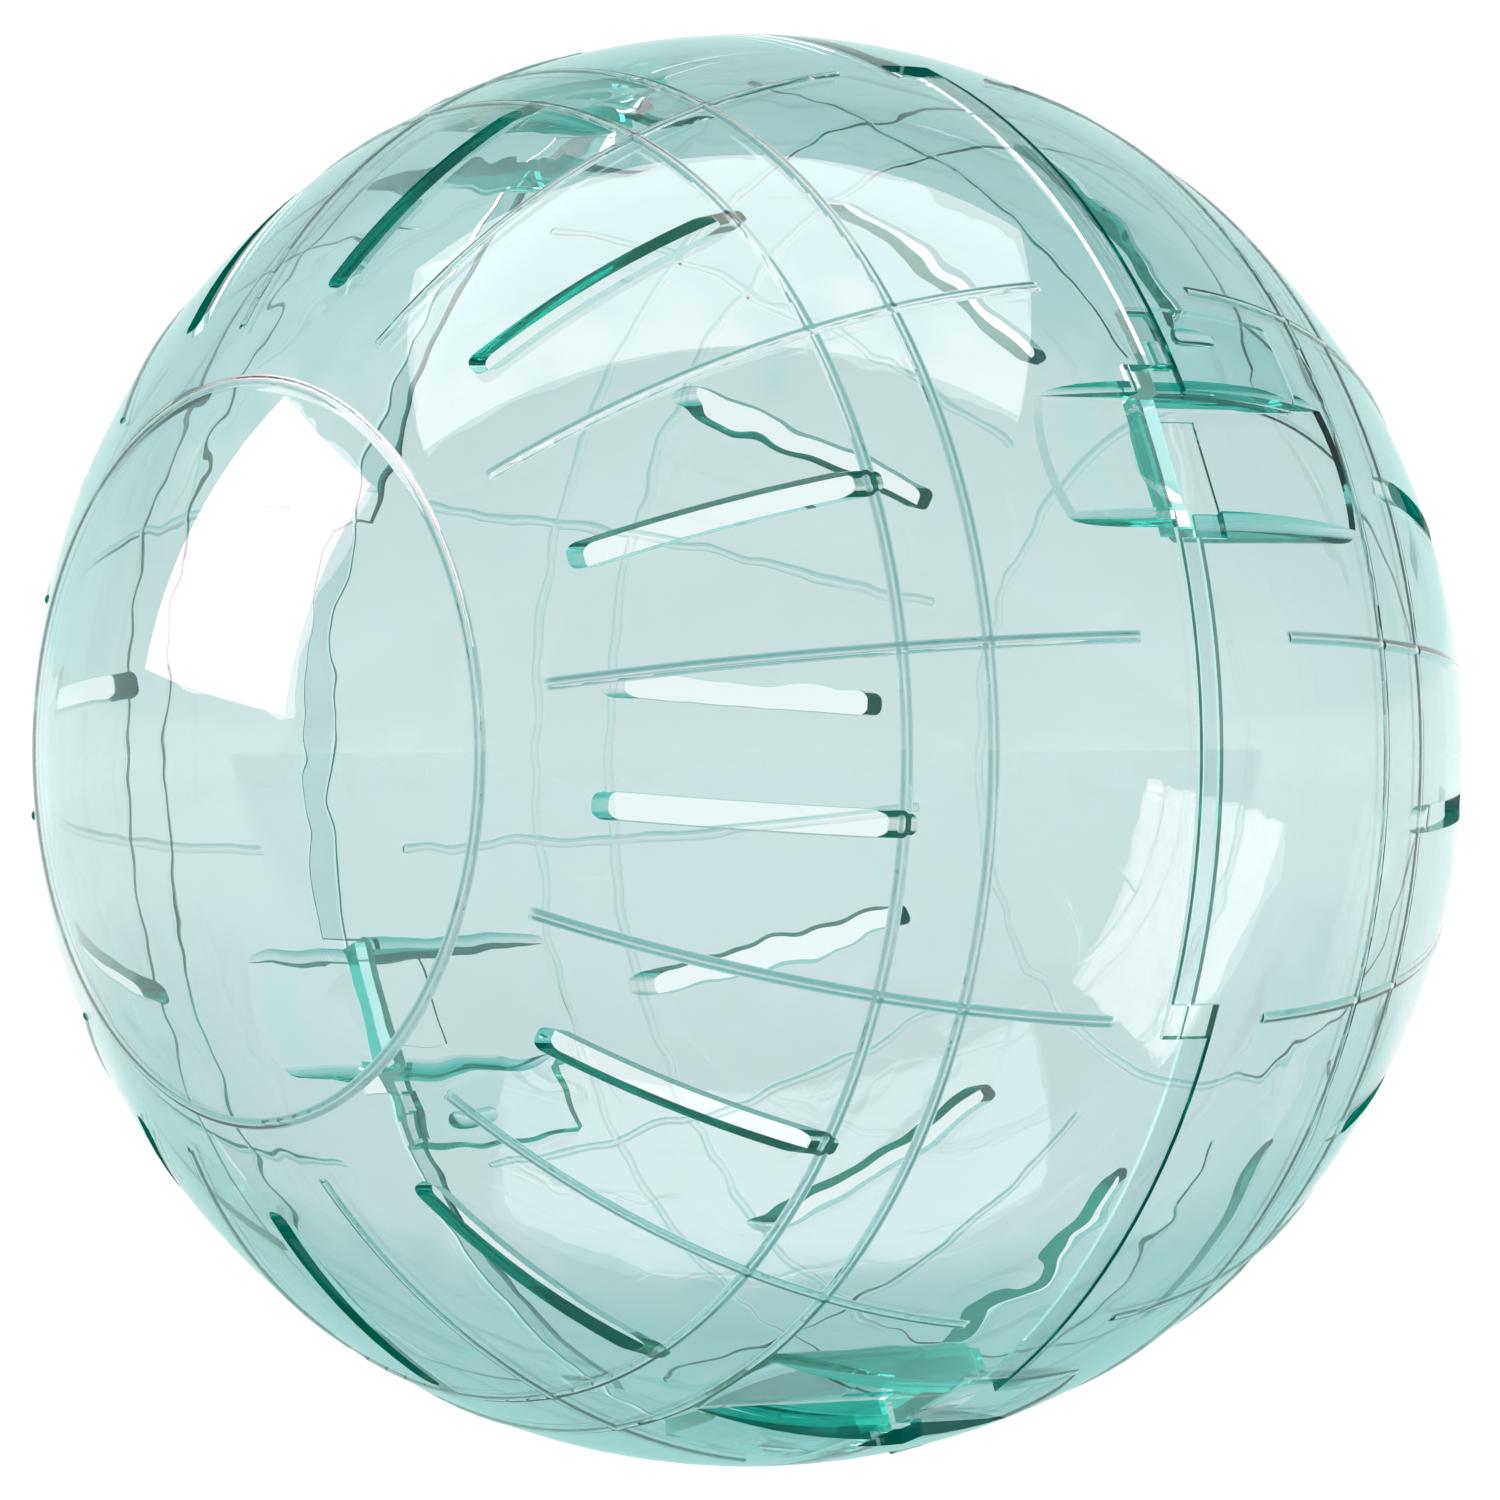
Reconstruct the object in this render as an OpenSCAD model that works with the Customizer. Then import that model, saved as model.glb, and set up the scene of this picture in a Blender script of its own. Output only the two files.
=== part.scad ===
// Clear exercise ball for a hamster. Two identical half shells lap each other at
// the equator and lock by a short twist about the line through the two poles.
// Lengths are in millimetres. The poles lie on Y and the ball's centre is the
// origin. Each half is drawn with its pole on +Z and its rim at Z = 0, with a
// meridian bead at angle zero, and is then turned into its place.

/* [Ball] */
// Outside diameter of the closed ball
ball_d = 180; // [120:1:260]
// Thickness of the shell wall
wall = 2; // [1.4:0.1:3]
// Turn of the ball about its pole line as it stands
standing_turn = 8.6; // [-45:0.1:45]

/* [Beads] */
// Meridian beads on each half
meridian_count = 12; // [6:1:18]
// Width of a bead where it leaves the shell
bead_w = 1.25; // [0.6:0.05:3]
// Height of a meridian bead
meridian_h = 0.32; // [0.1:0.01:0.8]
// Height of a ring bead
ring_h = 0.28; // [0.1:0.01:0.8]
// Angle from the pole to the small ring round the pole
pole_ring = 30.1; // [15:0.1:34]
// Angle from the pole to the first ring beside the rim
inner_ring = 62.7; // [50:0.1:65]
// Angle from the pole to the second ring beside the rim
outer_ring = 69.5; // [66:0.1:78]
// Angle from the pole to the pole end of a meridian bead
meridian_start = 35.8; // [32:0.1:45]
// Angle from the pole to the rim end of a meridian bead
meridian_end = 82.3; // [75:0.1:84]

/* [Air slots] */
// Width of an air slot
slot_w = 3.4; // [1.5:0.1:6]
// Radius of a slot's corners, as a share of its width
slot_corner_share = 0.36; // [0.1:0.01:0.45]
// Angle from the pole to the pole end of a slot
slot_start = 39; // [35:0.1:48]
// Angle from the pole to the rim end of a slot
slot_end = 61.4; // [52:0.1:62]

/* [Thumb scoops] */
// Width of a short scoop
short_scoop_w = 15.2; // [8:0.1:24]
// Depth of a short scoop at the rim
short_scoop_depth = 2.2; // [1:0.05:4]
// Width of a long scoop
long_scoop_w = 16; // [8:0.1:24]
// Depth of a long scoop at the rim
long_scoop_depth = 5.6; // [4.2:0.05:8]
// Length of the shallow seat at the rim end of a long scoop
seat_len = 8.6; // [4:0.1:16]
// Width of the seat
seat_w = 12.4; // [6:0.1:20]
// Depth of the seat
seat_depth = 0.35; // [0.1:0.05:0.8]

/* [Rim lap] */
// Length by which an outer lip runs past the rim
lap_len = 3.9; // [2:0.1:8]
// Gap left between two faces of the closed rim
rim_gap = 0.3; // [0.1:0.05:0.6]
// Gap left between an outer lip and the tongue inside it
lap_gap = 0.3; // [0.1:0.05:0.5]
// Angle of the unlocking twist
twist = 2.8; // [1:0.1:5]
// Angle from the middle of a scoop to the start of a lip
lip_start = 7.3; // [6.8:0.1:9]
// Size of the bevel on the outer edge of each lip
lip_bevel = 0.35; // [0.1:0.05:0.6]
// Length of the window in the rim beside a short scoop
window_len = 4.3; // [2.5:0.1:9]

/* [Twist catch] */
// Angle from the middle of a scoop to the start of a lug
lug_start = 7.6; // [7.5:0.1:9.5]
// Angle that a lug spans
lug_angle = 2.1; // [1:0.1:3]
// Depth by which a lug stands in from its lip
lug_in = 1.1; // [0.5:0.05:1.4]
// Length of a lug along the pole line
lug_len = 1.4; // [0.6:0.1:2]
// Distance from the rim to the near side of a lug
lug_off = 1.5; // [1:0.1:2.4]
// Thickness that the pad adds inside the wall behind a catch
pad_h = 1.4; // [0.6:0.1:2.5]
// Length of the pad from the rim
pad_len = 25.5; // [10:0.5:30]
// Angle from the middle of a long scoop to the far side of its pad
pad_end = 13.3; // [12:0.1:16]
// Gap kept round a lug in its channel
lug_gap = 0.3; // [0.1:0.05:0.5]
// Length of the rounded stud on the pad
stud_len = 8; // [5:0.1:12]
// Width of the rounded stud
stud_w = 3; // [2:0.1:4.5]
// Height of the rounded stud
stud_h = 1.35; // [0.3:0.05:1.45]
// Distance from the rim to the middle of the stud
stud_off = 10.8; // [8:0.1:16]
// Angle from the middle of a long scoop to the stud
stud_at = 10.9; // [9:0.1:12]

/* [Hidden] */
$fn = 144;
bead_fn = 48;
right_angle = 90;
half_turn = 180;
full_turn = 360;
ball_r = ball_d / 2;
inside_r = ball_r - wall;
// Distance by which one shape runs into or past another
overrun = wall / 4;

// Angles round the rim
pitch = full_turn / meridian_count;
short_scoop_at = pitch / 2;
long_scoop_at = short_scoop_at + right_angle;
lip_angle = right_angle / 2 - lip_start - twist / 2;
step_at = -pitch;

// Heights and radii at the rim
rim_face = rim_gap / 2;
lap_r = ball_r - wall / 2;
lip_in_r = lap_r + lap_gap / 2;
lip_end = rim_gap - lap_len;
lip_end_r = sqrt(ball_r * ball_r - lip_end * lip_end) - lip_bevel;
tongue_out_r = lap_r - lap_gap / 2;
pad_in_r = inside_r - pad_h;
short_floor = ball_r - short_scoop_depth;
long_floor = ball_r - long_scoop_depth;
channel_floor = lip_in_r - lug_in - lug_gap;
lug_far = lug_off + lug_len;
lug_gap_angle = lug_gap / ball_r * half_turn / PI;
channel_near = lug_start - lug_gap_angle;
channel_entry = lug_start + twist - 2 * lug_gap_angle;
channel_far = lug_start + lug_angle + twist + lug_gap_angle;
short_wall_out = asin((short_scoop_w / 2) / ball_r);
window_far = lip_start + lug_gap_angle;
long_wall_in = asin((long_scoop_w / 2) / inside_r);
slot_corner = slot_w * slot_corner_share;

// A bead is the part of a thin round rod that shows above the shell. Its rod
// radius and the depth of its centre line follow from the bead's width and height.
function rod_drop(h) = (pow(bead_w / 2, 2) - h * h) / (2 * h);
function rod_r(h) = rod_drop(h) + h;

// The turned band from one radius to another and one height to another
module band(r_in, r_out, low, high, start, angle) {
  rotate([0, 0, start])
    rotate_extrude(angle = angle)
      translate([r_in, low])
        square([r_out - r_in, high - low]);
}

// The room that a half may fill: all above its rim face, and below it a ring of
// lip with a bevel on its outer edge
module rim_room() {
  translate([0, 0, rim_face])
    cylinder(r = ball_r + overrun, h = ball_r);
  rotate_extrude()
    polygon([
      [lip_in_r, lip_end],
      [lip_end_r, lip_end],
      [lip_end_r + lip_bevel + overrun, lip_end + lip_bevel + overrun],
      [lip_end_r + lip_bevel + overrun, rim_gap],
      [lip_in_r, rim_gap]
    ]);
}

// A straight block for a scoop, open outwards, whose flat floor faces out
module scoop_block(floor_r, width, low, high) {
  translate([floor_r, -width / 2, low])
    cube([ball_r - floor_r + overrun, width, high - low]);
}

// Each module below draws both short or both long places, half a turn apart
module at_short(turn) {
  for (side = [0, half_turn])
    rotate([0, 0, turn + short_scoop_at + side])
      children();
}

module at_long(turn) {
  for (side = [0, half_turn])
    rotate([0, 0, turn + long_scoop_at + side])
      children();
}

module scoops(turn) {
  at_short(turn)
    scoop_block(short_floor, short_scoop_w, -overrun, ball_r);
  at_long(turn) {
    scoop_block(long_floor, long_scoop_w, -overrun, ball_r);
    scoop_block(long_floor - seat_depth, seat_w, -overrun, seat_len);
  }
}

// A scoop's block grown by the wall on all sides, which rounds its inner corners
module scoop_back(floor_r, width) {
  depth = ball_r - floor_r + overrun;
  translate([0, 0, -overrun])
    linear_extrude(height = ball_r + overrun) {
      translate([floor_r - wall, -width / 2])
        square([depth + wall, width]);
      translate([floor_r, -width / 2 - wall])
        square([depth, width + 2 * wall]);
      for (side = [-1, 1])
        translate([floor_r, side * width / 2])
          circle(r = wall, $fn = bead_fn);
    }
}

// The hollow inside, which keeps a full wall behind every scoop
module hollow(turn) {
  difference() {
    sphere(r = inside_r);
    at_short(turn)
      scoop_back(short_floor, short_scoop_w);
    at_long(turn)
      scoop_back(long_floor, long_scoop_w);
  }
}

// A short web under the short scoop's floor, which meets the end of the other
// half's long scoop and closes the step between the two floors
module scoop_webs(turn) {
  at_short(turn)
    translate([long_floor - wall / 2, -(long_scoop_w + wall) / 2, rim_face])
      cube([short_floor - long_floor, long_scoop_w + wall, wall - rim_face]);
}

module ring_bead(from_pole) {
  bead_r = ball_r - rod_drop(ring_h);
  translate([0, 0, bead_r * cos(from_pole)])
    rotate_extrude()
      translate([bead_r * sin(from_pole), 0])
        circle(r = rod_r(ring_h), $fn = bead_fn);
}

module meridian_bead() {
  rotate([right_angle, 0, 0])
    rotate([0, 0, right_angle - meridian_end])
      rotate_extrude(angle = meridian_end - meridian_start)
        translate([ball_r - rod_drop(meridian_h), 0])
          circle(r = rod_r(meridian_h), $fn = bead_fn);
}

module beads(turn) {
  ring_bead(pole_ring);
  ring_bead(inner_ring);
  ring_bead(outer_ring);
  for (i = [0 : meridian_count - 1])
    rotate([0, 0, turn + i * pitch])
      meridian_bead();
}

// The outline of one slot, seen along the pole line
module slot_outline() {
  start_r = ball_r * sin(slot_start);
  end_r = ball_r * sin(slot_end);
  translate([start_r, slot_corner - slot_w / 2])
    square([end_r - start_r, slot_w - 2 * slot_corner]);
  translate([start_r + slot_corner, -slot_w / 2])
    square([end_r - start_r - 2 * slot_corner, slot_w]);
  for (x = [start_r + slot_corner, end_r - slot_corner])
    for (y = [slot_corner - slot_w / 2, slot_w / 2 - slot_corner])
      translate([x, y])
        circle(r = slot_corner, $fn = bead_fn);
}

module air_slots(turn) {
  for (i = [0 : meridian_count - 1])
    rotate([0, 0, turn + short_scoop_at + i * pitch])
      translate([0, 0, lap_len])
        linear_extrude(height = ball_r)
          slot_outline();
}

// The ring of lip is cut into four lips, and the wall outside the tongue goes
// where the other half's lips lie
module lip_room(turn) {
  for (side = [0 : 3])
    band(tongue_out_r, ball_r + overrun, -lap_len, lap_len,
         turn + short_scoop_at + side * right_angle + lip_start + lip_angle,
         right_angle - lip_angle);
}

// A window through the tongue beside each short scoop, where a lip starts
module rim_windows(turn) {
  at_short(turn)
    band(short_floor - wall - overrun, lap_r, -overrun, window_len,
         short_wall_out, window_far - short_wall_out);
}

// The pad that backs a catch, which follows the inside of the wall beside each
// long scoop
module pads(turn) {
  at_long(turn)
    difference() {
      intersection() {
        band(0, ball_r, rim_face, pad_len, -pad_end, pad_end - long_wall_in);
        sphere(r = inside_r + overrun);
      }
      sphere(r = pad_in_r);
    }
}

// A stud is a bar with round ends, turned about its own length and sunk in the pad
module studs(turn) {
  bar = stud_len - stud_w;
  at_long(turn)
    rotate([0, 0, -stud_at])
      translate([pad_in_r + stud_w / 2 - stud_h, 0, stud_off])
        rotate_extrude($fn = bead_fn)
          intersection() {
            union() {
              square([stud_w, bar], center = true);
              for (side = [-1, 1])
                translate([0, side * bar / 2])
                  circle(r = stud_w / 2, $fn = bead_fn);
            }
            translate([0, -stud_len])
              square([stud_w, 2 * stud_len]);
          }
}

// The L-shaped channel in the tongue that a lug enters and then turns into
module catch_channels(turn) {
  at_long(turn) {
    band(channel_floor, ball_r + overrun, lug_off - lug_gap, lap_len,
         -channel_far, channel_far - channel_near);
    band(channel_floor, ball_r + overrun, -overrun, lap_len,
         -channel_far, channel_far - channel_entry);
  }
}

module lugs(turn) {
  at_short(turn)
    band(lip_in_r - lug_in, lip_in_r + overrun, -lug_far, -lug_off,
         lug_start, lug_angle);
}

// One half shell, with its pole on +Z, turned about its pole line by an angle
module half_shell(turn) {
  difference() {
    union() {
      difference() {
        intersection() {
          sphere(r = ball_r);
          rim_room();
        }
        scoops(turn);
        hollow(turn);
      }
      scoop_webs(turn);
      beads(turn);
      pads(turn);
      studs(turn);
      lugs(turn);
    }
    air_slots(turn);
    lip_room(turn);
    rim_windows(turn);
    catch_channels(turn);
  }
}

// The half whose pole is on -Y
module front_half() {
  color("paleturquoise", 0.4)
    rotate([right_angle, 0, 0])
      half_shell(standing_turn);
}

// The same half, turned over about the line through two opposite lip ends
module back_half() {
  color("paleturquoise", 0.4)
    rotate([-right_angle, 0, 0])
      half_shell(-standing_turn - 2 * step_at);
}

front_half();
back_half();
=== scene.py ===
"""Looks of a clear teal hamster ball: two moulded half shells in one plastic, on a pale studio floor."""

import math

import bpy
import numpy as np
from mathutils import Matrix, Vector


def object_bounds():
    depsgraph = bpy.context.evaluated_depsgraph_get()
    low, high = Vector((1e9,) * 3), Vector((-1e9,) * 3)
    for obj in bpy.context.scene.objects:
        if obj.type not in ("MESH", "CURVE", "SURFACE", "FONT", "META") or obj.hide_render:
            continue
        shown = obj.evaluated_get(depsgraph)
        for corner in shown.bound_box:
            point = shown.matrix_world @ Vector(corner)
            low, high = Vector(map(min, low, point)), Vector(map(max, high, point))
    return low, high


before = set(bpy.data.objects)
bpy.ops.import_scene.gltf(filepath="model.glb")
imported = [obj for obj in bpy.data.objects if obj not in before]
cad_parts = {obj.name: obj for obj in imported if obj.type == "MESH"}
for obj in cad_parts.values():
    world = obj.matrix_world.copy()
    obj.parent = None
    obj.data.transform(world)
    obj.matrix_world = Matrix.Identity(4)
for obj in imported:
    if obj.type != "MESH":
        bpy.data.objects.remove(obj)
cad_box = [list(corner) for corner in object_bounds()]
front_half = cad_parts["front_half"]
back_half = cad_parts["back_half"]
FLOOR_Z = cad_box[0][2]

# Camera, fitted to the rings and beads of the photograph
PICTURE_PX = 1500
FOCAL_PX = 10822.0
BALL_AT_PX = (747.4, 750.2)
SENSOR_MM = 36.0
CAMERA_AWAY = 1.3624
NEAREST, FARTHEST = 0.05, 60.0
POLE_TURN = math.radians(50.65)
ROLL = math.radians(0.206)


def make_camera():
    """The camera stands level with the ball's centre, turned from the near pole by POLE_TURN.

    It puts out the directions from the ball to the camera and to the picture's right."""
    towards = Vector((math.sin(POLE_TURN), -math.cos(POLE_TURN), 0.0))
    right = Vector((math.cos(POLE_TURN), math.sin(POLE_TURN), 0.0))
    up = Vector((0.0, 0.0, 1.0))
    right_rolled = right * math.cos(ROLL) - up * math.sin(ROLL)
    up_rolled = right * math.sin(ROLL) + up * math.cos(ROLL)
    data = bpy.data.cameras.new("camera")
    data.sensor_width = SENSOR_MM
    data.lens = FOCAL_PX / PICTURE_PX * SENSOR_MM
    data.shift_x = (PICTURE_PX / 2 - BALL_AT_PX[0]) / PICTURE_PX
    data.shift_y = (BALL_AT_PX[1] - PICTURE_PX / 2) / PICTURE_PX
    data.clip_start, data.clip_end = NEAREST, FARTHEST
    camera = bpy.data.objects.new("camera", data)
    axes = Matrix((right_rolled, up_rolled, towards)).transposed()
    camera.matrix_world = Matrix.Translation(towards * CAMERA_AWAY) @ axes.to_4x4()
    bpy.context.scene.collection.objects.link(camera)
    bpy.context.scene.camera = camera
    return towards, right


TOWARDS, RIGHT = make_camera()
UP = Vector((0.0, 0.0, 1.0))
POLE_LINE = (0.0, 1.0, 0.0)
BLACK = (0.0, 0.0, 0.0, 1.0)


class Nodes:
    """Adds nodes to one tree. A value given to a call is a number, a triple or another node's output."""

    def __init__(self, tree):
        self.tree = tree

    def add(self, kind, **settings):
        node = self.tree.nodes.new("ShaderNode" + kind)
        for name, value in settings.items():
            setattr(node, name, value)
        return node

    def put(self, socket, value):
        if isinstance(value, bpy.types.NodeSocket):
            self.tree.links.new(value, socket)
        else:
            socket.default_value = value

    def maths(self, operation, *values):
        node = self.add("Math", operation=operation)
        for socket, value in zip(node.inputs, values):
            self.put(socket, value)
        return node.outputs[0]

    def product(self, first, *rest):
        for value in rest:
            first = self.maths("MULTIPLY", first, value)
        return first

    def rest_of(self, share):
        return self.maths("SUBTRACT", 1.0, share)

    def vector(self, operation, *values):
        """A triple, or for a dot product, a length or a distance a number."""
        node = self.add("VectorMath", operation=operation)
        for socket, value in zip(node.inputs, values):
            self.put(socket, value)
        is_number = operation in ("DOT_PRODUCT", "LENGTH", "DISTANCE")
        return node.outputs["Value" if is_number else "Vector"]

    def scaled(self, vector, share):
        node = self.add("VectorMath", operation="SCALE")
        self.put(node.inputs[0], vector)
        self.put(node.inputs["Scale"], share)
        return node.outputs["Vector"]

    def between(self, share, a, b):
        """The triple a where share is 0 and b where it is 1."""
        return self.vector("ADD", self.scaled(a, self.rest_of(share)), self.scaled(b, share))

    def turned(self, share, a, b):
        """The direction a where share is 0 and b where it is 1."""
        return self.vector("NORMALIZE", self.between(share, a, b))

    def smooth(self, value, span, low=0.0, high=1.0):
        """low before the span and high after it, turning smoothly between them."""
        step = self.add("MapRange", interpolation_type="SMOOTHSTEP")
        names = ("Value", "From Min", "From Max", "To Min", "To Max")
        for name, number in zip(names, (value, *span, low, high)):
            self.put(step.inputs[name], number)
        return step.outputs["Result"]

    def past(self, value, span):
        return self.smooth(value, span)

    def before(self, value, span):
        return self.smooth(value, span, 1.0, 0.0)

    def mixed(self, share, a, b):
        """Colour a where share is 0 and b where it is 1."""
        node = self.add("Mix", data_type="RGBA")
        self.put(node.inputs["Factor"], share)
        self.put(node.inputs["A"], a)
        self.put(node.inputs["B"], b)
        return node.outputs["Result"]

    def mixed_number(self, share, a, b):
        node = self.add("Mix")
        self.put(node.inputs["Factor"], share)
        self.put(node.inputs["A"], a)
        self.put(node.inputs["B"], b)
        return node.outputs["Result"]

    def noise(self, where, scale, name="Fac"):
        node = self.add("TexNoise")
        self.put(node.inputs["Vector"], where)
        self.put(node.inputs["Scale"], scale)
        self.put(node.inputs["Detail"], 1.0)
        return node.outputs[name]

    def fading(self, value, reach):
        """e to the power of minus value over reach."""
        return self.maths("EXPONENT", self.maths("MULTIPLY", value, -1 / reach))

    def slant(self, normal):
        """How edge on a face with this normal is seen, from 0 to 1."""
        weight = self.add("LayerWeight")
        self.put(weight.inputs["Blend"], 0.5)
        self.put(weight.inputs["Normal"], normal)
        return weight.outputs["Facing"]


def new_material(name):
    mat = bpy.data.materials.new(name)
    mat.use_nodes = True
    mat.node_tree.nodes.clear()
    return mat, Nodes(mat.node_tree)


# Where the beads are, in degrees from the nearer pole and round the pole line, as in the part's source
BEAD_RINGS = (30.1, 62.7, 69.5)
MERIDIAN_PITCH, MERIDIAN_TURN = 30.0, 8.6
MERIDIAN_START, MERIDIAN_END = 35.8, 82.3
MERIDIAN_FADE = 0.008
# How wide a bead is, the slope of its sides, and how much of the slope and of the painted shade on its sides
# shows from within the plastic
BEAD_SPAN = 0.0017
BEAD_SLOPE = 0.60
SLOPE_WITHIN, TINT_WITHIN = 0.35, 0.15

# The inner face's ripple: its strength, and the scales of its waves and of its stronger and weaker patches
RIPPLE = 0.052
RIPPLE_SCALE, PATCH_SCALE = 130.0, 28.0
PATCH_SPAN, PATCH_LEAST = (0.42, 0.66), 0.3

# The radii, in metres, over which each kind of face is told from the next
OUTER_R = (0.08990, 0.08993)
INNER_R = (0.08802, 0.08804)
INNER_LEAST_R = (0.08785, 0.08790)
LAP_LEAST_R, LAP_R = (0.0884, 0.0886), (0.0893, 0.0895)
BEVEL_R = (0.08963, 0.08965)
ROUND_OVER_R = (0.0900, 0.08965)
# The same by a face's squareness, the cosine between its normal and the radius
OUTER_SQUARE = (0.55, 0.62)
INNER_SQUARE = (0.985, 0.99)
BEVEL_LEAST_SQUARE, BEVEL_SQUARE = (0.60, 0.64), (0.80, 0.84)
WALL_SQUARE = (0.55, 0.93)
RIM_SQUARE = (0.20, 0.30)
LAP_SQUARE = (0.93, 0.97)
# The same by the distance from the joint between the halves, and from the pole line
BEVEL_FROM_JOINT = (0.0045, 0.0050)
RIM_FROM_JOINT = (0.0002, 0.0004)
POLE_FAN = (0.004, 0.006)


class ShellPoint:
    """A point on the shell, in the part's own frame.

    out points away from the ball's centre, and own is the face's normal. facing is the cosine between them,
    and side, its sign, is 1 on the outer face seen from the air. A ray that leaves the plastic meets the same
    faces from behind, so side turns there. around and away are the directions round the pole line and away
    from the nearer pole, and beta is the angle from that pole."""

    def __init__(self, n):
        at = n.add("TexCoord")
        self.place = at.outputs["Object"]
        split = n.add("SeparateXYZ")
        n.put(split.inputs[0], self.place)
        self.x, y, self.z = split.outputs
        self.from_joint = n.maths("ABSOLUTE", y)
        self.radius = n.vector("LENGTH", self.place)
        self.out = n.vector("NORMALIZE", self.place)
        squares = n.maths("ADD", n.product(self.x, self.x), n.product(self.z, self.z))
        self.from_axis = n.maths("SQRT", squares)
        # Close to a pole the mesh is a fan of slivers, where a face's true direction stands in for its
        # smoothed one
        true_way = n.add("VectorTransform", vector_type="NORMAL", convert_from="WORLD", convert_to="OBJECT")
        n.put(true_way.inputs[0], n.add("NewGeometry").outputs["True Normal"])
        at_pole = n.before(self.from_axis, POLE_FAN)
        self.own = n.between(at_pole, at.outputs["Normal"], true_way.outputs[0])
        self.facing = n.vector("DOT_PRODUCT", self.own, self.out)
        self.side = n.maths("SIGN", self.facing)
        self.square = n.maths("ABSOLUTE", self.facing)
        self.within = n.maths("MULTIPLY_ADD", self.side, -0.5, 0.5)
        self.around = n.vector("NORMALIZE", n.vector("CROSS_PRODUCT", self.out, POLE_LINE))
        to_pole = n.vector("CROSS_PRODUCT", self.out, self.around)
        self.away = n.scaled(to_pole, n.maths("MULTIPLY", n.maths("SIGN", y), -1.0))
        self.beta = n.maths("ARCTAN2", self.from_axis, self.from_joint)


def bead_slopes(n, at):
    """The slopes of the ring beads and of the meridian beads, each as a share of the steepest.

    A bead's profile is one wave of a cosine across BEAD_SPAN, so its slope is one wave of a sine."""

    def wave(distance):
        share = n.maths("DIVIDE", distance, BEAD_SPAN)
        share = n.maths("MINIMUM", n.maths("MAXIMUM", share, -0.5), 0.5)
        return n.maths("SINE", n.maths("MULTIPLY", share, 2 * math.pi))

    rings = 0.0
    for ring in BEAD_RINGS:
        off = n.maths("SUBTRACT", at.beta, math.radians(ring))
        rings = n.maths("ADD", rings, wave(n.product(off, at.radius)))
    pitch = math.radians(MERIDIAN_PITCH)
    phi = n.maths("ARCTAN2", at.z, at.x)
    phi = n.maths("ADD", phi, pitch / 2 - math.radians(MERIDIAN_TURN))
    phi = n.maths("SUBTRACT", n.maths("FLOORED_MODULO", phi, pitch), pitch / 2)
    start, end = math.radians(MERIDIAN_START), math.radians(MERIDIAN_END)
    held = n.product(n.past(at.beta, (start - MERIDIAN_FADE, start + MERIDIAN_FADE)),
                     n.before(at.beta, (end - MERIDIAN_FADE, end + MERIDIAN_FADE)))
    return rings, n.product(wave(n.product(phi, at.from_axis)), held)


def outer_face(n, at, rings, lines):
    """The outer face's normal: the radius leaned over by the beads' slopes, less so as seen from within."""
    lean = n.vector("ADD", n.scaled(at.away, n.product(rings, BEAD_SLOPE)),
                    n.scaled(at.around, n.product(lines, -BEAD_SLOPE)))
    lean = n.scaled(lean, n.maths("MULTIPLY_ADD", at.within, SLOPE_WITHIN - 1, 1.0))
    normal = n.vector("NORMALIZE", n.vector("ADD", at.out, lean))
    return n.scaled(normal, at.side)


def inner_face(n, at):
    """The inner face's normal: the radius leaned over by the slow ripple of the moulding, in patches."""
    ripple = n.vector("SUBTRACT", n.noise(at.place, RIPPLE_SCALE, "Color"), (0.5, 0.5, 0.5))
    patchy = n.smooth(n.noise(at.place, PATCH_SCALE), PATCH_SPAN, PATCH_LEAST, 1.0)
    ripple = n.scaled(ripple, n.product(patchy, RIPPLE))
    normal = n.vector("NORMALIZE", n.vector("ADD", at.out, ripple))
    return n.scaled(normal, at.side)


def rounded_bevel(n, at):
    """The normal of a lip's bevel, lit as a quarter round from the radius down to the lip's end face."""
    level = n.vector("NORMALIZE", n.vector("SUBTRACT", at.own, n.scaled(at.out, at.facing)))
    turn = n.product(n.smooth(at.radius, ROUND_OVER_R), math.pi / 2)
    return n.vector("ADD", n.scaled(at.out, n.product(at.side, n.maths("COSINE", turn))),
                    n.scaled(level, n.maths("SINE", turn)))


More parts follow.
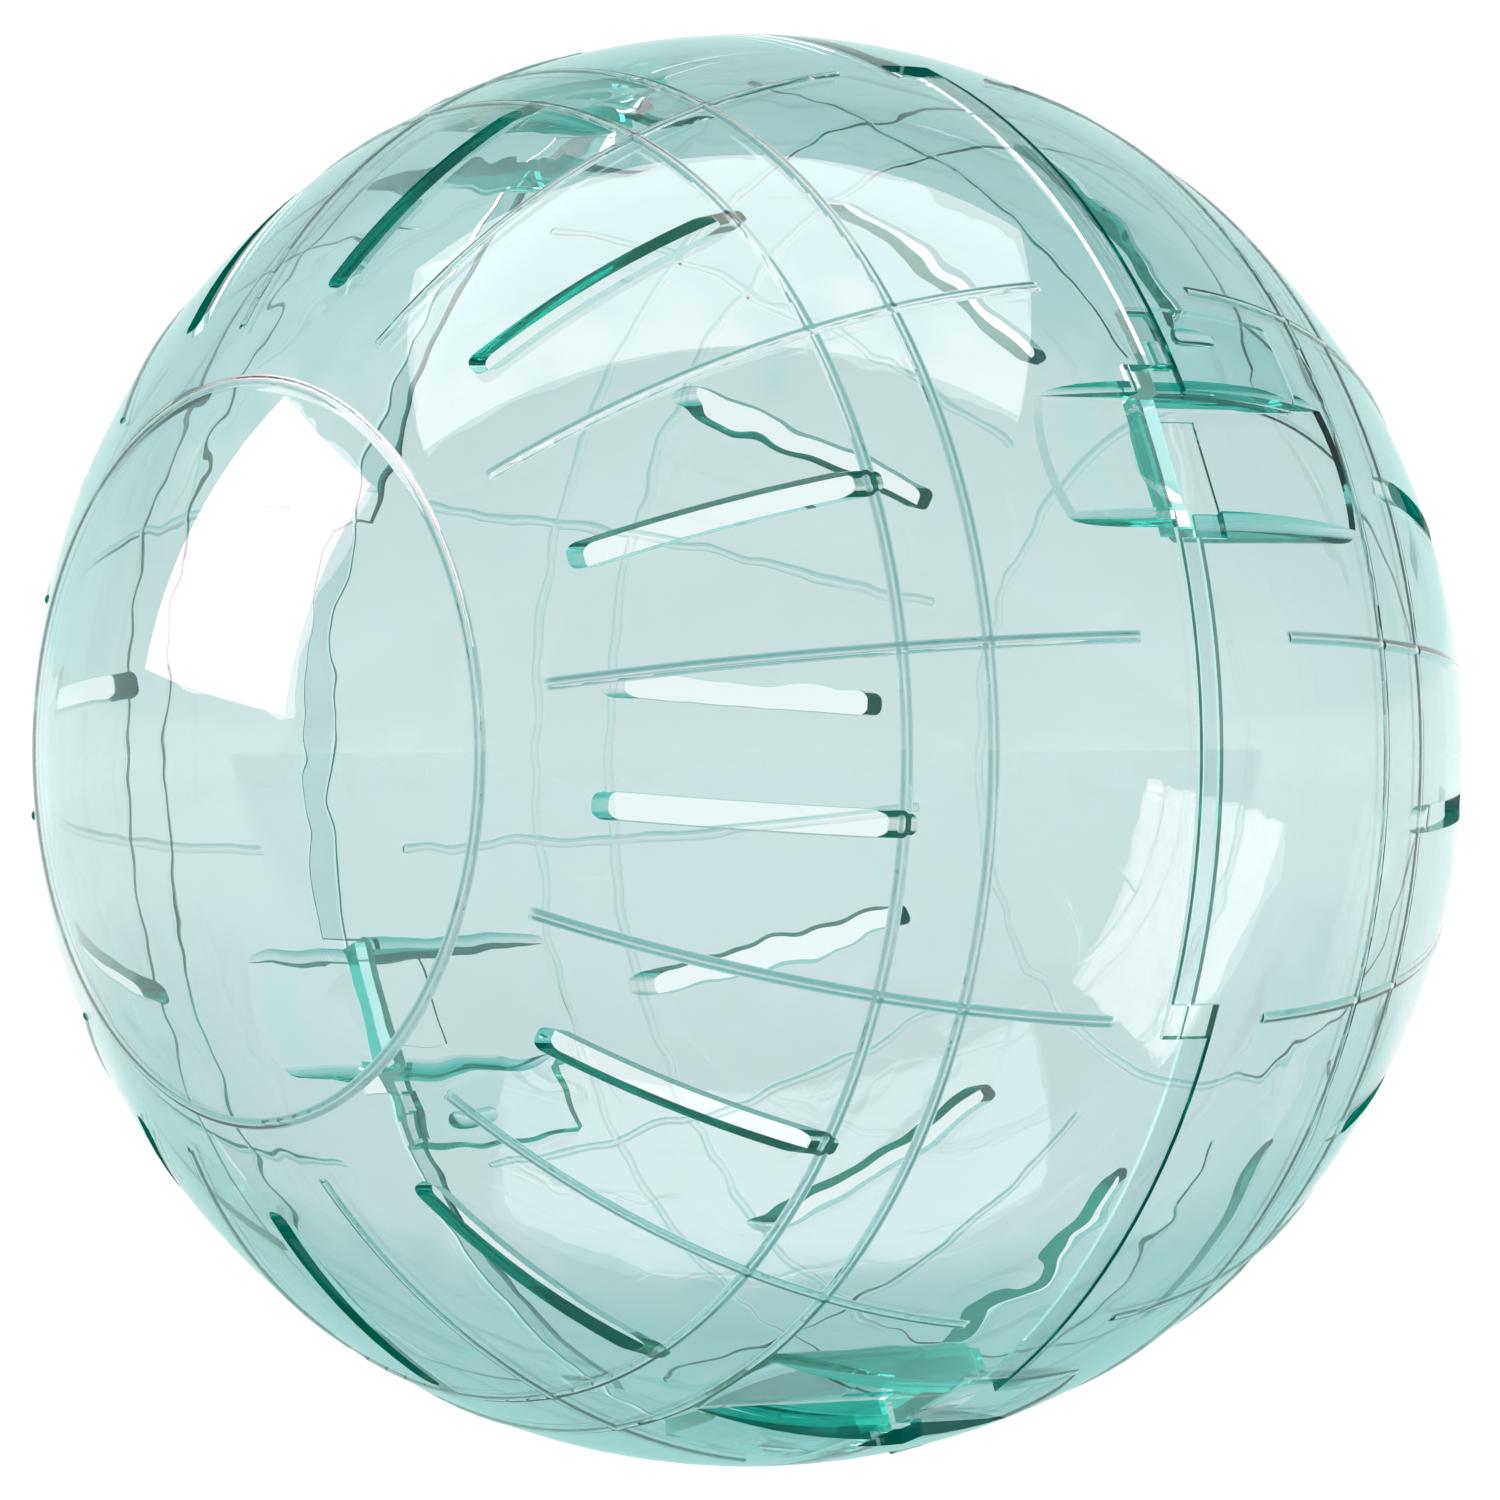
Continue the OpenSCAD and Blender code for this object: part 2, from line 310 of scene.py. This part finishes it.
def shell_finish_group():
    """Puts out the moulded shell's normals and its masks.

    Normal has the beads' sides, the inner ripple and the rounded bevels. Plain is the radius on both skins.
    Walls keep their own normal in both. Bead is the share of the steepest bead slope, Wall how far a face
    turns away from the sphere, Bevel a lip's outer edge, Rim the faces that meet in the joint, and Lap the
    faces between lip and tongue."""
    group = bpy.data.node_groups.new("shell_finish", "ShaderNodeTree")
    kinds = dict.fromkeys(("Normal", "Plain"), "NodeSocketVector")
    kinds.update(dict.fromkeys(("Bead", "Wall", "Bevel", "Rim", "Lap"), "NodeSocketFloat"))
    for name, kind in kinds.items():
        group.interface.new_socket(name, in_out="OUTPUT", socket_type=kind)
    n = Nodes(group)
    at = ShellPoint(n)
    rings, lines = bead_slopes(n, at)

    is_out = n.product(n.past(at.radius, OUTER_R), n.past(at.square, OUTER_SQUARE))
    is_in = n.product(n.before(at.radius, INNER_R), n.past(at.square, INNER_SQUARE),
                      n.past(at.radius, INNER_LEAST_R))
    is_bevel = n.product(n.past(at.radius, BEVEL_R), n.past(at.square, BEVEL_LEAST_SQUARE),
                         n.before(at.square, BEVEL_SQUARE), n.before(at.from_joint, BEVEL_FROM_JOINT))
    is_rim = n.product(n.before(at.from_joint, RIM_FROM_JOINT), n.before(at.square, RIM_SQUARE))
    is_lap = n.product(n.past(at.radius, LAP_LEAST_R), n.before(at.radius, LAP_R),
                       n.past(at.square, LAP_SQUARE))

    normal = n.turned(is_out, at.own, outer_face(n, at, rings, lines))
    normal = n.turned(is_in, normal, inner_face(n, at))
    normal = n.turned(is_bevel, normal, rounded_bevel(n, at))
    plain = n.turned(n.maths("MAXIMUM", is_out, is_in), at.own, n.scaled(at.out, at.side))
    result = group.nodes.new("NodeGroupOutput")
    for name, vector in (("Normal", normal), ("Plain", plain)):
        to_world = n.add("VectorTransform", vector_type="NORMAL", convert_from="OBJECT", convert_to="WORLD")
        n.put(to_world.inputs[0], vector)
        n.put(result.inputs[name], n.vector("NORMALIZE", to_world.outputs[0]))

    slope = n.maths("ADD", n.maths("ABSOLUTE", rings), n.maths("ABSOLUTE", lines))
    slope = n.product(n.maths("MINIMUM", slope, 1.0),
                      n.maths("MULTIPLY_ADD", at.within, TINT_WITHIN - 1, 1.0))
    # Bead carries the painted shade on the beads' sides, and their coat
    n.put(result.inputs["Bead"], n.product(slope, is_out))
    n.put(result.inputs["Wall"], n.product(n.before(at.square, WALL_SQUARE), n.rest_of(is_bevel)))
    # Bevel and Rim mark where the plastic gets a painted glow
    n.put(result.inputs["Bevel"], is_bevel)
    n.put(result.inputs["Rim"], is_rim)
    n.put(result.inputs["Lap"], is_lap)
    return group


# The plastic's own shares of the light: of the skins, the faces between lip and tongue and the walls. The
# beads' sides get a painted shade, a darker teal where their slopes bend the light away
CLEAR = (0.915, 0.893, 0.902, 1.0)
LAP_CLEAR = (0.83, 0.91, 0.91, 1.0)
BEAD_SIDE_PAINTED_SHADE = (0.20, 0.38, 0.37, 1.0)
WALL_TINT = (0.07, 0.46, 0.39, 1.0)
# What is left of each colour where the shell is seen edge on
EDGE_ON = (0.90, 0.93, 0.925, 1.0)
# A painted glow, emitted at the walls, the lips' bevels and the rim, that stands in for the light that has
# wandered along inside the plastic and leaves it at its edges
WALL_PAINTED_GLOW = (0.0, 0.065, 0.050, 1.0)
BEVEL_PAINTED_GLOW = (0.07, 0.20, 0.17, 1.0)
RIM_PAINTED_GLOW = (0.11, 0.25, 0.22, 1.0)
PLASTIC_IOR, COAT_IOR = 1.58, 1.65
THROUGH_PLASTIC, TINT_PER_METRE = (0.20, 0.764, 0.709, 1.0), 110.0
SHADOW_TINT = (0.86, 0.95, 0.94, 1.0)
# Where the plain normal takes over, by how edge on a face is seen from the air and from within the plastic
GRAZING_AIR, GRAZING_WITHIN = (0.70, 0.88), (0.185, 0.215)


def shading_normal(n, finish):
    """The finish's normal, or where light only grazes a face its plain one.

    That is on the air's side or, past the critical angle, on the plastic's. A leaned normal would send the
    light back into the face and leave a black line there."""
    slant = n.slant(finish.outputs["Plain"])
    share = n.mixed_number(n.add("NewGeometry").outputs["Backfacing"],
                           n.past(slant, GRAZING_AIR), n.past(slant, GRAZING_WITHIN))
    return n.turned(share, finish.outputs["Normal"], finish.outputs["Plain"])


def clear_teal_plastic():
    """Clear plastic that takes its colour from its depth and its edges, with a painted shade on the sides of
    its beads and a painted glow at its walls, bevels and rim.
    """
    mat, n = new_material("clear_teal_plastic")
    finish = n.tree.nodes.new("ShaderNodeGroup")
    finish.node_tree = shell_finish_group()
    masks = finish.outputs
    normal = shading_normal(n, finish)

    deeper = n.add("Gamma")
    n.put(deeper.inputs["Color"], EDGE_ON)
    n.put(deeper.inputs["Gamma"], n.slant(normal))
    body = n.add("Mix", data_type="RGBA", blend_type="MULTIPLY")
    n.put(body.inputs["Factor"], 1.0)
    n.put(body.inputs["A"], n.mixed(masks["Lap"], CLEAR, LAP_CLEAR))
    n.put(body.inputs["B"], deeper.outputs["Color"])
    # Painted shade: the sides of the beads are darkened to teal where their slopes bend the light
    colour = n.mixed(masks["Bead"], body.outputs["Result"], BEAD_SIDE_PAINTED_SHADE)
    # Painted glow: the walls, bevels and rim emit a faint green light of their own
    glow = n.mixed(masks["Wall"], BLACK, WALL_PAINTED_GLOW)
    glow = n.mixed(masks["Bevel"], glow, BEVEL_PAINTED_GLOW)

    plastic = n.add("BsdfPrincipled")
    n.put(plastic.inputs["Base Color"], n.mixed(masks["Wall"], colour, WALL_TINT))
    n.put(plastic.inputs["Normal"], normal)
    n.put(plastic.inputs["Roughness"], 0.0)
    n.put(plastic.inputs["IOR"], PLASTIC_IOR)
    n.put(plastic.inputs["Transmission Weight"], 1.0)
    n.put(plastic.inputs["Emission Color"], n.mixed(masks["Rim"], glow, RIM_PAINTED_GLOW))
    n.put(plastic.inputs["Emission Strength"], 1.0)
    # The sides of a bead are polished brighter than the wall
    n.put(plastic.inputs["Coat Weight"], masks["Bead"])
    n.put(plastic.inputs["Coat Roughness"], 0.0)
    n.put(plastic.inputs["Coat IOR"], COAT_IOR)
    n.put(plastic.inputs["Coat Normal"], normal)

    # Light reaches what lies behind the shell, so its shadow is as pale as the plastic
    through = n.add("BsdfTransparent")
    n.put(through.inputs["Color"], SHADOW_TINT)
    shaded = n.add("MixShader")
    n.put(shaded.inputs["Fac"], n.add("LightPath").outputs["Is Shadow Ray"])
    n.put(shaded.inputs[1], plastic.outputs[0])
    n.put(shaded.inputs[2], through.outputs[0])
    tint = n.add("VolumeAbsorption")
    n.put(tint.inputs["Color"], THROUGH_PLASTIC)
    n.put(tint.inputs["Density"], TINT_PER_METRE)
    out = n.add("OutputMaterial")
    n.put(out.inputs["Surface"], shaded.outputs[0])
    n.put(out.inputs["Volume"], tint.outputs[0])
    return mat


teal = clear_teal_plastic()
for half in (front_half, back_half):
    half.data.materials.clear()
    half.data.materials.append(teal)

# The floor is lit from below, so it looks white beside the ball. In the ball it is seen with a painted teal
# shadow of the ball, and in front of the ball with a painted dimness of the studio. Lengths are in metres
FLOOR_REACH, FLOOR_RINGS, FLOOR_SPOKES = (0.05, 30.0), 48, 96
FLOOR_WHITE = (1.0, 1.0, 1.0, 1.0)
FLOOR_PAINT = (0.15, 0.15, 0.15, 1.0)
SHADED_FLOOR = (0.46, 0.72, 0.695, 1.0)
FRONT_FLOOR_PAINTED_DIM = (0.20, 0.40, 0.38, 1.0)
SHADE_SPAN, FRONT_SPAN = (0.12, 0.50), (0.07, 0.13)
FLOOR_GLOW = 0.92
FAR_SPAN, FAR_GLOW = (0.3, 3.0), 0.16


def floor_material():
    """White to the camera, with painted shade near the ball and in front of it where the ball mirrors or
    bends it.
    """
    mat, n = new_material("pale_floor")
    paint = n.add("BsdfPrincipled")
    n.put(paint.inputs["Base Color"], FLOOR_PAINT)
    n.put(paint.inputs["Roughness"], 1.0)
    n.put(paint.inputs["Specular IOR Level"], 0.0)
    place = n.add("TexCoord").outputs["Object"]
    in_front = n.past(n.vector("DOT_PRODUCT", place, tuple(TOWARDS)), FRONT_SPAN)
    away = n.vector("DISTANCE", place, tuple(UP * FLOOR_Z))
    # Painted shadow: the ball's teal shadow round its contact, and a painted dimness in front of the ball
    shaded = n.mixed(n.past(away, SHADE_SPAN), SHADED_FLOOR, FLOOR_WHITE)
    painted_floor_shade = n.mixed(in_front, shaded, FRONT_FLOOR_PAINTED_DIM)
    to_camera = n.add("LightPath").outputs["Is Camera Ray"]
    n.put(paint.inputs["Emission Color"], n.mixed(to_camera, painted_floor_shade, FLOOR_WHITE))
    glow = n.maths("ADD", FLOOR_GLOW, n.smooth(away, FAR_SPAN, 0.0, FAR_GLOW))
    n.put(paint.inputs["Emission Strength"], glow)
    n.put(n.add("OutputMaterial").inputs["Surface"], paint.outputs[0])
    return mat


def make_floor():
    """A round floor: radius times (cos, sin) of the angle, all at the height of the ball's lowest point."""
    rings = np.geomspace(*FLOOR_REACH, FLOOR_RINGS)
    angles = np.linspace(0.0, 2 * np.pi, FLOOR_SPOKES + 1)[:-1]
    r, a = np.meshgrid(rings, angles, indexing="ij")
    verts = np.stack([r * np.cos(a), r * np.sin(a), np.full_like(r, FLOOR_Z)], -1).reshape(-1, 3)
    count = len(angles)
    i, j = np.meshgrid(np.arange(len(rings) - 1), np.arange(count), indexing="ij")
    k = (j + 1) % count
    quads = np.stack([i * count + j, (i + 1) * count + j, (i + 1) * count + k, i * count + k], -1)
    centre = len(verts)
    verts = np.vstack([verts, [[0.0, 0.0, FLOOR_Z]]])
    fan = [(centre, q, (q + 1) % count) for q in range(count)]
    mesh = bpy.data.meshes.new("floor")
    mesh.from_pydata(verts.tolist(), [], quads.reshape(-1, 4).tolist() + fan)
    mesh.materials.append(floor_material())
    floor = bpy.data.objects.new("floor", mesh)
    bpy.context.scene.collection.objects.link(floor)


make_floor()

WHITE = (1.15, 1.15, 1.15, 1.0)
HIGH_PAPER = (0.90, 1.06, 1.05, 1.0)
DIM = (0.31, 0.48, 0.465, 1.0)
# Heights and directions in the studio are given as cosines
BAND_REACH = 0.15
BAND_IN_FRONT, BAND_LEAST = (-0.95, -0.30), 0.30
PAPER_REACH, PAPER_SPAN = 0.85, (0.60, 0.70)
HIGH_PAPER_SPAN = (0.046, 0.066)
CARD_REACH, CARD_SPAN = 0.35, (0.5, 0.85)
CORNER, CORNER_SPAN = (RIGHT * -0.66 + UP * 0.66 - TOWARDS * 0.36).normalized(), (0.86, 0.97)


def make_world():
    """The studio round the ball, white to the camera. For the ball it is dim but for its pale parts.

    Those are a thin band at the horizon all round, weaker in front, the backdrop's paper behind the ball,
    which turns a little teal above the horizon, a card on each side, and a corner of ceiling up on the
    left."""
    world = bpy.data.worlds.new("studio")
    bpy.context.scene.world = world
    world.use_nodes = True
    world.node_tree.nodes.clear()
    n = Nodes(world.node_tree)
    where = n.add("TexCoord").outputs["Generated"]

    def along(direction):
        return n.vector("DOT_PRODUCT", where, tuple(direction))

    height, behind = along(UP), along(-TOWARDS)
    above = n.maths("MAXIMUM", height, 0.0)
    share = n.maths("MULTIPLY", above, 1 / BAND_REACH)
    band = n.maths("EXPONENT", n.maths("MULTIPLY", n.product(share, share), -1.0))
    band = n.product(band, n.smooth(behind, BAND_IN_FRONT, BAND_LEAST, 1.0))
    paper = n.product(n.fading(above, PAPER_REACH), n.past(behind, PAPER_SPAN))
    cards = n.product(n.fading(above, CARD_REACH), n.past(n.maths("ABSOLUTE", along(RIGHT)), CARD_SPAN))
    # The beads at the top of the ball mirror this one
    corner = n.past(along(CORNER), CORNER_SPAN)
    pale = n.maths("MAXIMUM", n.maths("MAXIMUM", band, cards), n.maths("MAXIMUM", paper, corner))
    colour = n.mixed(pale, DIM, n.mixed(n.past(height, HIGH_PAPER_SPAN), WHITE, HIGH_PAPER))
    back = n.add("Background")
    n.put(back.inputs["Color"], n.mixed(n.add("LightPath").outputs["Is Camera Ray"], colour, WHITE))
    n.put(n.add("OutputWorld").inputs["Surface"], back.outputs[0])


make_world()


def soft_light(name, centre, across, over, radiance, colour):
    """A rectangular soft light that faces the ball.

    centre is its middle, and across and over are half its sides, in metres to the right, up and towards
    the camera."""

    def in_room(way):
        return RIGHT * way[0] + UP * way[1] + TOWARDS * way[2]

    place, x, y = in_room(centre), in_room(across), in_room(over)
    z = x.cross(y).normalized()
    if z.dot(place) < 0:
        x, z = -x, -z
    data = bpy.data.lights.new(name, "AREA")
    data.shape = "RECTANGLE"
    data.size, data.size_y = 2 * x.length, 2 * y.length
    data.energy = radiance * math.pi * data.size * data.size_y
    data.color = colour
    y = z.cross(x.normalized())
    lamp = bpy.data.objects.new(name, data)
    axes = Matrix((x.normalized(), y, z)).transposed()
    lamp.matrix_world = Matrix.Translation(place) @ axes.to_4x4()
    bpy.context.scene.collection.objects.link(lamp)


# Their colours make up for the teal that the plastic takes from what it mirrors within
soft_light("left_softbox", centre=(-1.0, 0.425, -0.01), across=(0.0, -0.03, 0.305),
           over=(0.0, 0.315, 0.04), radiance=6.2, colour=(1.0, 0.55, 0.62))
soft_light("overhead_softbox", centre=(-0.10, 1.025, 0.02), across=(0.76, 0.0, 0.0),
           over=(0.0, -0.225, 0.38), radiance=3.3, colour=(1.0, 0.76, 0.81))

# Light crosses many skins of clear plastic before it leaves the ball
CROSSINGS, SEE_THROUGH_CROSSINGS = 48, 24
scene = bpy.context.scene
scene.view_settings.view_transform = "Standard"
scene.cycles.max_bounces = CROSSINGS
scene.cycles.transmission_bounces = CROSSINGS
scene.cycles.glossy_bounces = CROSSINGS
scene.cycles.transparent_max_bounces = SEE_THROUGH_CROSSINGS
